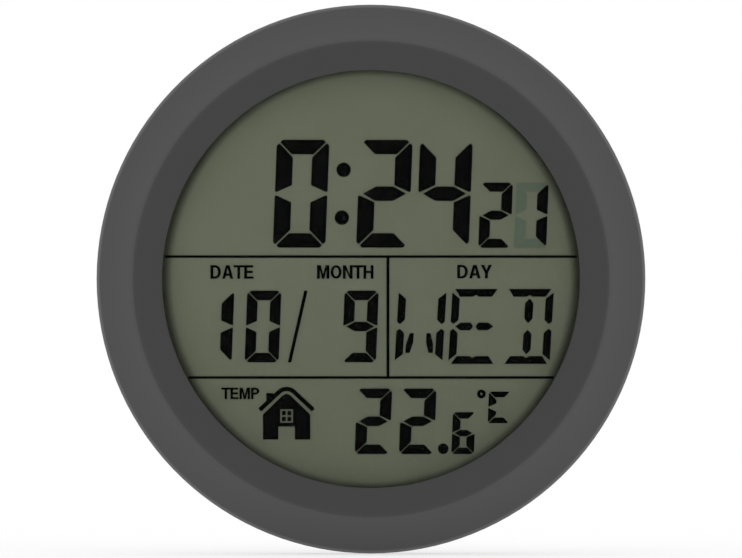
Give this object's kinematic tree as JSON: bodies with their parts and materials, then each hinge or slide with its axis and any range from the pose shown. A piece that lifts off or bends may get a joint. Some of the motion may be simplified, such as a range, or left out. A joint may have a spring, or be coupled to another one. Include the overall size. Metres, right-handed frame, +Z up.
{
  "type": "bathroom clock",
  "caption": "Round digital bathroom clock with a reflective display for time, date, weekday and temperature, a sloped grey bezel, suction cups, a hanger and a fold-out stand.",
  "frame": {"origin": "on the clock's axis, in the plane of the suction cups' lips, where the wall is", "axes": "+Z up, -Y out of the clock's face towards the viewer, +Y into the wall, +X to the viewer's right"},
  "size_m": [0.1698, 0.0338, 0.1698],
  "materials": {
    "case_plastic": "fine spark-eroded matt ABS",
    "lens_clear": "clear cast acrylic",
    "tape_foam": "black foam and adhesive tape",
    "polariser_film": "neutral polariser film",
    "lcd_glass": "soda-lime display glass",
    "lcd_ink": "driven liquid crystal, black",
    "lcd_back": "olive reflector film",
    "tray_plastic": "natural ABS",
    "steel": "zinc-plated steel",
    "connector_rubber": "silicone with carbon layers",
    "board_laminate": "green solder mask on glass-epoxy",
    "potting": "black epoxy",
    "ceramic": "fired ceramic",
    "sensor_bead": "epoxy-dipped bead",
    "switch_plastic": "nylon",
    "key_plastic": "soft-touch ABS",
    "seal_rubber": "silicone",
    "cell_wrap": "wrapped cell",
    "nickel": "nickel-plated spring steel",
    "lead_red": "soft vinyl",
    "lead_black": "soft vinyl",
    "cup_vinyl": "clear soft vinyl"
  },
  "bodies": {
    "case": {"front_case": "case_plastic", "lens": "lens_clear", "lens_tape": "tape_foam", "lcd_spacer": "tape_foam", "front_polariser": "polariser_film", "lcd_front_glass": "lcd_glass", "lcd_seal": "lcd_back", "lcd_segments": "lcd_ink", "lcd_rear_glass": "lcd_glass", "lcd_reflector": "lcd_back", "lcd_tray": "tray_plastic", "tray_screws": "steel", "zebra_strip": "connector_rubber", "circuit_board": "board_laminate", "board_screws": "steel", "driver_chip": "potting", "quartz_crystal": "steel", "chip_capacitors": "ceramic", "thermistor": "sensor_bead", "tact_switches": "switch_plastic", "rear_case": "case_plastic", "case_gasket": "seal_rubber", "case_screws": "steel", "upper_cell": "cell_wrap", "lower_cell": "cell_wrap", "series_contact": "nickel", "positive_terminal": "nickel", "negative_terminal": "nickel", "contact_springs": "nickel", "positive_lead": "lead_red", "negative_lead": "lead_black", "stand_pin": "steel", "suction_cup_top_left": "cup_vinyl", "suction_cup_top_right": "cup_vinyl", "suction_cup_bottom_left": "cup_vinyl", "suction_cup_bottom_right": "cup_vinyl"},
    "door": {"battery_door": "case_plastic"},
    "stand": {"stand": "case_plastic"},
    "mode_key": {"mode_button": "key_plastic", "mode_stem": "switch_plastic"},
    "up_key": {"up_button": "key_plastic", "up_stem": "switch_plastic"},
    "down_key": {"down_button": "key_plastic", "down_stem": "switch_plastic"},
    "unit_key": {"unit_button": "key_plastic", "unit_stem": "switch_plastic"}
  },
  "joints": [
    {"name": "mode_press", "type": "slide", "parent": "case", "child": "mode_key", "axis": [0, -1, 0], "range_m": [0, 0.0005], "stiffness_N_per_m": 1200},
    {"name": "up_press", "type": "slide", "parent": "case", "child": "up_key", "axis": [0, -1, 0], "range_m": [0, 0.0005], "stiffness_N_per_m": 1200},
    {"name": "down_press", "type": "slide", "parent": "case", "child": "down_key", "axis": [0, -1, 0], "range_m": [0, 0.0005], "stiffness_N_per_m": 1200},
    {"name": "unit_press", "type": "slide", "parent": "case", "child": "unit_key", "axis": [0, -1, 0], "range_m": [0, 0.0005], "stiffness_N_per_m": 1200},
    {"name": "door_slide", "type": "slide", "parent": "case", "child": "door", "axis": [1, 0, 0], "range_m": [0, 0.062]},
    {"name": "stand_fold", "type": "hinge", "parent": "case", "child": "stand", "pos_m": [0, -0.0087, -0.02395], "axis": [1, 0, 0], "range_deg": [0, 55]}
  ]
}
